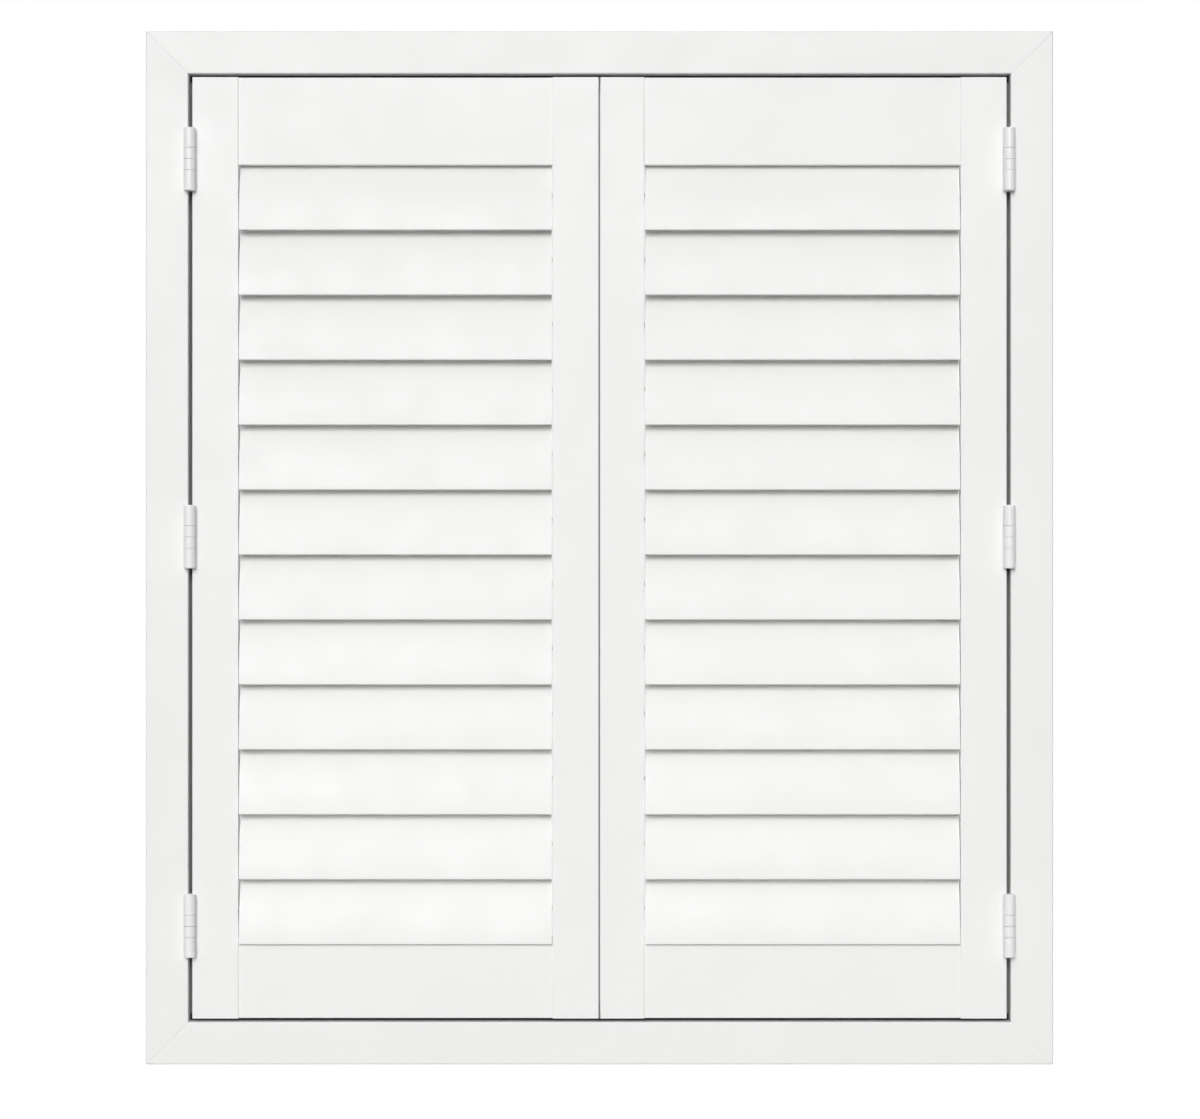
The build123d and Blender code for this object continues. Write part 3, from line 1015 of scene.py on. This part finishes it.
class SHUTTER_OT_stage(bpy.types.Operator):
    """Floor, sky, lamps and camera"""

    bl_idname = "shutter.stage"
    bl_label = "Stage"

    def execute(self, context):
        sizes = context.scene.shutter_stage
        bm = bmesh.new()
        bmesh.ops.create_grid(bm, x_segments=1, y_segments=1, size=sizes.floor_half_size)
        bmesh.ops.translate(bm, vec=(0, 0, -sizes.floor_below), verts=bm.verts)
        mesh = bpy.data.meshes.new("Floor")
        bm.to_mesh(mesh)
        bm.free()
        colours = context.scene.shutter_colours
        mesh.materials.append(matt_floor("Board, matt painted, floor", colours.floor, sizes.floor_glow))
        floor = bpy.data.objects.new("Floor", mesh)
        context.scene.collection.objects.link(floor)
        pale_world(sizes.sky)
        soft_light("Front light", FRONT_LIGHT, sizes.front_level)
        soft_light("High light", HIGH_LIGHT, sizes.high_level)
        low_back_light(sizes)
        photo_camera(sizes)
        context.scene.view_settings.view_transform = "Standard"
        return {"FINISHED"}


# Settings


def length_property(name, default, description):
    return FloatProperty(name=name, description=description, default=default, unit="LENGTH", precision=5)


def level_property(name, default, description):
    return FloatProperty(name=name, description=description, default=default, min=0)


def colour_property(name, default, description):
    return FloatVectorProperty(
        name=name, description=description, default=hex_to_linear(default), subtype="COLOR", min=0, max=1
    )


class ShutterSizes(bpy.types.PropertyGroup):
    frame_round: length_property("Frame edge", 1.6 * MM, "Radius of the frame's front edges")
    mitre_bevel: length_property("Mitre groove", 0.5 * MM, "Bevel on each side of a mitre")
    member_round: length_property("Panel edge", 1.2 * MM, "Radius of the stiles' and rails' long edges")
    joint_groove: length_property("Joint groove", 0.8 * MM, "Bevel on a rail's ends, at the stiles")
    end_ease: length_property("Stile end", 0.5 * MM, "Radius of the stiles' cut ends")
    blade_edge_round: length_property("Blade edge", 0.7 * MM, "Radius on a louvre's two long edges")
    blade_steps: IntProperty(name="Blade steps", description="Facets across a blade's face", default=24)
    rod_round: length_property("Rod edge", 0.8 * MM, "Radius of the tilt rod's edges")
    rivet_radius: length_property("Rivet hole", 1.6 * MM, "Radius of the hole in an arm's eye")
    rivet_head_radius: length_property("Rivet head", 2.8 * MM, "Radius of a rivet's head")
    rivet_head: length_property("Rivet head height", 1.0 * MM, "Height of a rivet's head")
    leaf_corner: length_property("Leaf corner", 1.5 * MM, "Radius of a leaf's corners")
    knuckle_ease: length_property("Knuckle edge", 0.25 * MM, "Radius where two knuckles meet")
    knuckle_top: length_property("Knuckle top", 0.7 * MM, "Radius at the top of a hinge")
    knuckle_foot: length_property("Knuckle foot", 1.6 * MM, "Radius at the foot of a hinge")
    pin_head: length_property("Pin head", 0.6 * MM, "How far the hinge pin stands above its knuckle")
    screw_radius: length_property("Screw head", 3.4 * MM, "Radius of a screw's head")
    screw_rise: length_property("Screw rise", 0.12 * MM, "How far a screw's head stands above its plate")
    small_screw_radius: length_property("Small screw head", 2.0 * MM, "Radius of a strike's screws")
    catch_corner: length_property("Catch corner", 1.2 * MM, "Radius of the magnets' and strikes' corners")
    seal_round: length_property("Seal edge", 0.6 * MM, "Radius of the seals' front edges")


class ShutterColours(bpy.types.PropertyGroup):
    frame_paint: colour_property("Frame", "#F0F0EF", "Satin paint of the frame")
    panel_paint: colour_property("Panels", "#F2F2F1", "Satin paint of the stiles and rails")
    louvre_paint: colour_property("Louvres", "#EFEFEE", "Satin paint of the louvres")
    hinge_coat: colour_property("Hinges", "#F3F3F3", "Powder coat of the hinges")
    rod_coat: colour_property("Tilt rods", "#F0F0EF", "Powder coat of the tilt rods")
    nylon: colour_property("Nylon", "#ECECE8", "Moulded arms and pins")
    nickel: colour_property("Nickel", "#C9C5BC", "Plated magnets, strikes and screws")
    # The rubber's near black is partly painted shade for the gaps at the head and the sill.
    rubber: colour_property("Rubber", "#0C0C0D", "Seals on the head and the sill")
    # The pile's mid grey is partly painted shade for the gaps beside the hinges and between the panels.
    pile: colour_property("Pile", "#8C8C8A", "Seals on the jambs and between the panels")
    floor: colour_property("Floor", "#F0F0EE", "Matt floor")


class ShutterStage(bpy.types.PropertyGroup):
    floor_below: length_property("Floor", 0.8, "How far the floor is below the reveal's sill")
    floor_half_size: length_property("Floor size", 4.5, "Half the floor's side")
    camera_distance: length_property("Camera distance", 4.5, "From the lens to the frame's face")
    camera_below: length_property("Camera below", 13.9 * MM, "How far the lens is below the middle")
    camera_right: length_property("Camera right", 0.6 * MM, "How far the lens is right of the middle")
    view_width: length_property("View width", 1.4286, "Width of the view at the frame's face")
    floor_glow: level_property("Floor glow", 0.5, "Level of the glow that lifts the floor's look")
    sky: level_property("Sky", 0.04, "Level of the even light from all round")
    front_level: level_property("Front light", 0.68, "Level of the broad light in front")
    high_level: level_property("High light", 0.18, "Level of the broad light above on the left")
    back_power: FloatProperty(
        name="Back light", description="Power of the light behind", default=105, unit="POWER", min=0
    )
    back_width: length_property("Back light width", 5.0, "Width of the light behind")
    back_depth: length_property("Back light depth", 0.8, "Depth of the light behind")
    back_distance: length_property("Back light distance", 2.0, "How far behind the reveal it stands")
    back_above_floor: length_property("Back light height", 0.02, "How far it stands above the floor")


# Panel and registration


class SHUTTER_PT_sidebar(bpy.types.Panel):
    bl_label = "Louvred Shutters"
    bl_idname = "SHUTTER_PT_sidebar"
    bl_space_type = "VIEW_3D"
    bl_region_type = "UI"
    bl_category = "Shutters"

    def draw(self, context):
        layout = self.layout
        for operator in OPERATORS:
            layout.operator(operator.bl_idname)
        for name, group in SETTINGS.items():
            box = layout.box()
            for setting in group.__annotations__:
                box.prop(getattr(context.scene, name), setting)


OPERATORS = (
    SHUTTER_OT_frame,
    SHUTTER_OT_panels,
    SHUTTER_OT_louvres,
    SHUTTER_OT_tilt_linkage,
    SHUTTER_OT_hinges,
    SHUTTER_OT_catches_and_seals,
    SHUTTER_OT_stage,
)
SETTINGS = {
    "shutter_sizes": ShutterSizes,
    "shutter_colours": ShutterColours,
    "shutter_stage": ShutterStage,
}


def register():
    for item in (*SETTINGS.values(), *OPERATORS, SHUTTER_PT_sidebar):
        bpy.utils.register_class(item)
    for name, group in SETTINGS.items():
        setattr(bpy.types.Scene, name, PointerProperty(type=group))


def unregister():
    for name in SETTINGS:
        delattr(bpy.types.Scene, name)
    for item in (SHUTTER_PT_sidebar, *reversed(OPERATORS), *reversed(SETTINGS.values())):
        bpy.utils.unregister_class(item)


def main():
    register()
    bpy.ops.shutter.frame()
    bpy.ops.shutter.panels()
    bpy.ops.shutter.louvres()
    bpy.ops.shutter.tilt_linkage()
    bpy.ops.shutter.hinges()
    bpy.ops.shutter.catches_and_seals()
    bpy.ops.shutter.stage()


if __name__ == "__main__":
    main()
